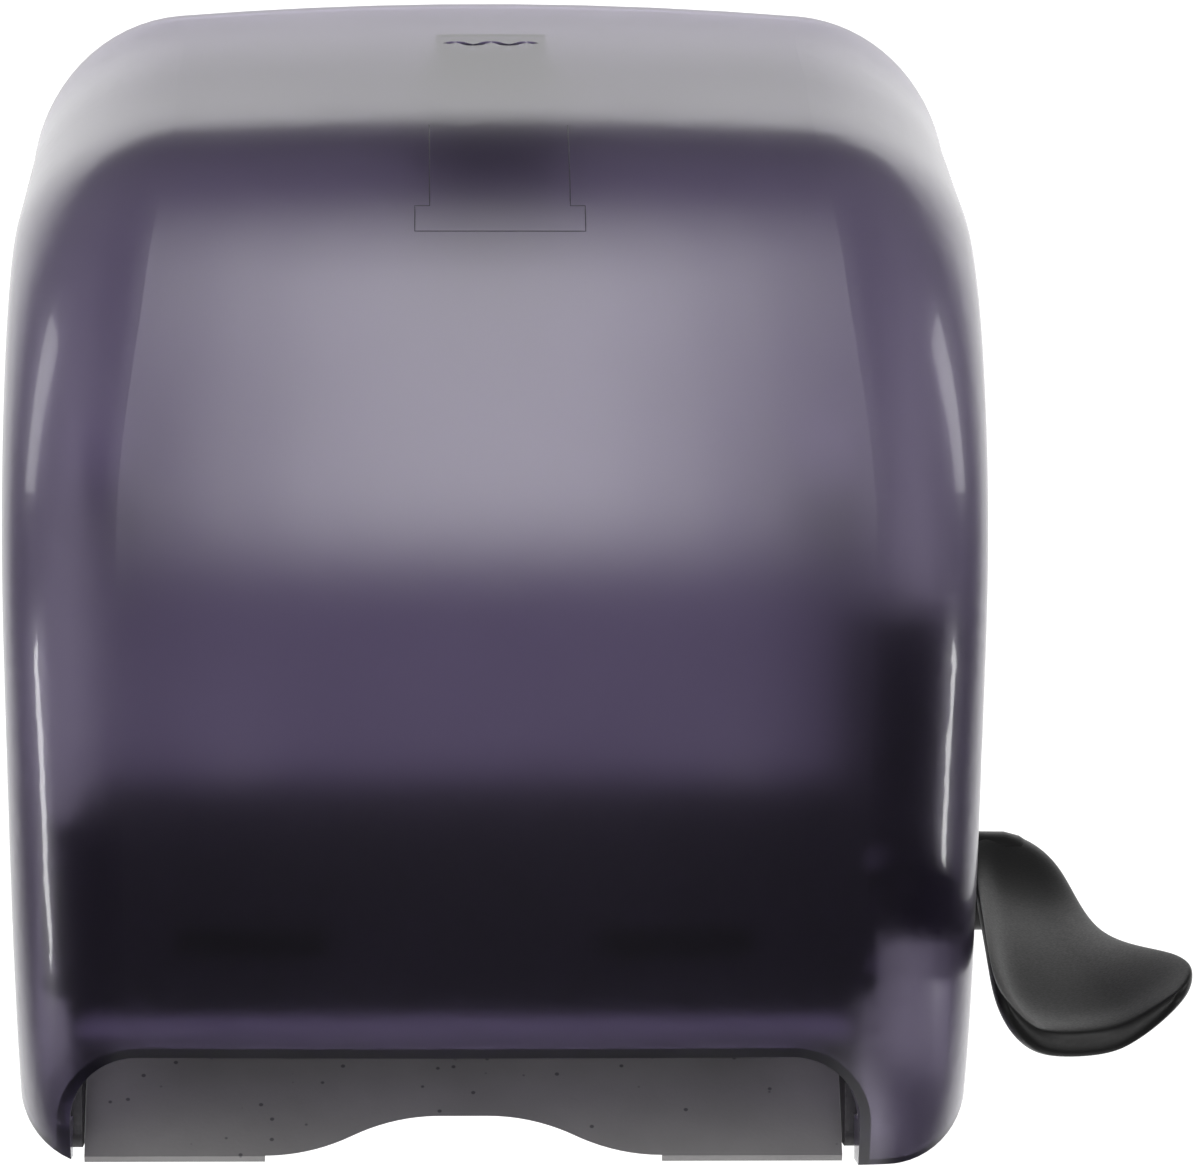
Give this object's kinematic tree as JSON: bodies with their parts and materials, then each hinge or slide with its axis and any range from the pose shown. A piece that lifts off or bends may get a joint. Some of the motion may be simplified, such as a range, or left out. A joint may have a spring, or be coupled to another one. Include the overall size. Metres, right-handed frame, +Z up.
{
  "type": "paper towel dispenser",
  "caption": "Wall-mounted lever dispenser for roll paper towels: rounded smoke-grey cover on a foot hinge, key latch, scooped side lever geared to a rubber feed roller, tear bar and roll arms.",
  "frame": {"origin": "centre of the four wall screws, on the wall plane", "axes": "+X to the right of someone facing it, +Y into the wall, +Z up; the front faces -Y"},
  "size_m": [0.3303, 0.216, 0.3371],
  "materials": {
    "cover_smoke": "frosted translucent smoke, glossy outside",
    "panel_grey": "moulded matte",
    "apron_speckled": "moulded matte with dark specks",
    "lever_black": "satin moulded",
    "chassis_black": "moulded matte",
    "blade_steel": "rolled stainless strip",
    "shaft_steel": "turned",
    "screw_steel": "zinc plated",
    "spring_steel": "drawn wire",
    "roller_rubber": "ground rubber",
    "gear_nylon": "moulded nylon"
  },
  "bodies": {
    "housing": {"back_panel": "panel_grey", "hinge_pins": "shaft_steel", "apron": "apron_speckled", "left_cheek": "chassis_black", "right_cheek": "chassis_black", "tie_bar": "chassis_black", "front_panel": "chassis_black", "tear_bar": "blade_steel", "tear_bar_screws": "screw_steel", "drive_bush_left": "gear_nylon", "drive_bush_right": "gear_nylon", "pinch_rod": "shaft_steel", "pinch_springs": "spring_steel", "gear_guard": "chassis_black", "guard_screws": "screw_steel", "lever_bush_inner": "gear_nylon", "lever_bush_outer": "gear_nylon", "lever_spring": "spring_steel", "right_arm": "panel_grey", "right_hub_clip": "spring_steel", "left_arm_bracket": "panel_grey", "left_arm_pin": "shaft_steel", "latch_guide": "panel_grey", "latch_spring": "spring_steel", "chassis_screws": "screw_steel", "arm_screws": "screw_steel", "panel_screws": "screw_steel"},
    "cover": {"cover": "cover_smoke"},
    "lever": {"lever": "lever_black", "lever_shaft": "shaft_steel", "sector_gear": "gear_nylon", "lever_clip": "spring_steel", "lever_screw": "screw_steel"},
    "pinion": {"pinion": "gear_nylon", "one_way_clutch": "shaft_steel"},
    "drive_roller": {"drive_shaft": "shaft_steel", "drive_core": "gear_nylon", "drive_tyres": "roller_rubber", "drive_clip": "spring_steel"},
    "pinch_yoke": {"pinch_yoke": "chassis_black"},
    "pinch_roller": {"pinch_shaft": "shaft_steel", "pinch_rolls": "roller_rubber"},
    "left_arm": {"left_arm": "panel_grey", "left_hub_clip": "spring_steel"},
    "left_hub": {"left_hub": "panel_grey"},
    "right_hub": {"right_hub": "panel_grey"},
    "latch": {"latch": "chassis_black"}
  },
  "joints": [
    {"name": "cover_hinge", "type": "hinge", "parent": "housing", "child": "cover", "pos_m": [0, -0.03, -0.176], "axis": [1, 0, 0], "range_deg": [0, 90]},
    {"name": "lever_push", "type": "hinge", "parent": "housing", "child": "lever", "pos_m": [0.1405, -0.048, -0.112], "axis": [1, 0, 0], "range_deg": [0, 40], "stiffness_Nm_per_rad": 1.2, "springref_deg": -20.05, "deforming": ["lever_spring"]},
    {"name": "pinion_spin", "type": "hinge", "parent": "housing", "child": "pinion", "pos_m": [0.1096, -0.12, -0.112], "axis": [1, 0, 0], "continuous": true},
    {"name": "drive_spin", "type": "hinge", "parent": "housing", "child": "drive_roller", "pos_m": [-0.0084, -0.12, -0.112], "axis": [1, 0, 0], "continuous": true},
    {"name": "pinch_swing", "type": "hinge", "parent": "housing", "child": "pinch_yoke", "pos_m": [-0.0084, -0.07, -0.12], "axis": [-1, 0, 0], "range_deg": [0, 6], "stiffness_Nm_per_rad": 3, "springref_deg": -5.73, "deforming": ["pinch_springs"]},
    {"name": "pinch_spin", "type": "hinge", "parent": "pinch_yoke", "child": "pinch_roller", "pos_m": [-0.0084, -0.09237, -0.10194], "axis": [1, 0, 0], "continuous": true},
    {"name": "left_arm_swing", "type": "hinge", "parent": "housing", "child": "left_arm", "pos_m": [-0.1169, -0.012, 0.00999], "axis": [0, 0, -1], "range_deg": [0, 7], "stiffness_Nm_per_rad": 2, "springref_deg": -5.73},
    {"name": "left_hub_spin", "type": "hinge", "parent": "left_arm", "child": "left_hub", "pos_m": [-0.1144, -0.107, 0.00999], "axis": [1, 0, 0], "continuous": true},
    {"name": "right_hub_spin", "type": "hinge", "parent": "housing", "child": "right_hub", "pos_m": [0.0976, -0.107, 0.00999], "axis": [1, 0, 0], "continuous": true},
    {"name": "latch_press", "type": "slide", "parent": "housing", "child": "latch", "axis": [0, 0, -1], "range_m": [0, 0.007], "stiffness_N_per_m": 800, "springref_m": -0.003, "deforming": ["latch_spring"]}
  ],
  "couplings": [
    {"joint": "pinion_spin", "follows": "lever_push", "ratio": -7},
    {"joint": "drive_spin", "follows": "lever_push", "ratio": -7},
    {"joint": "pinch_spin", "follows": "lever_push", "ratio": 11.454}
  ]
}
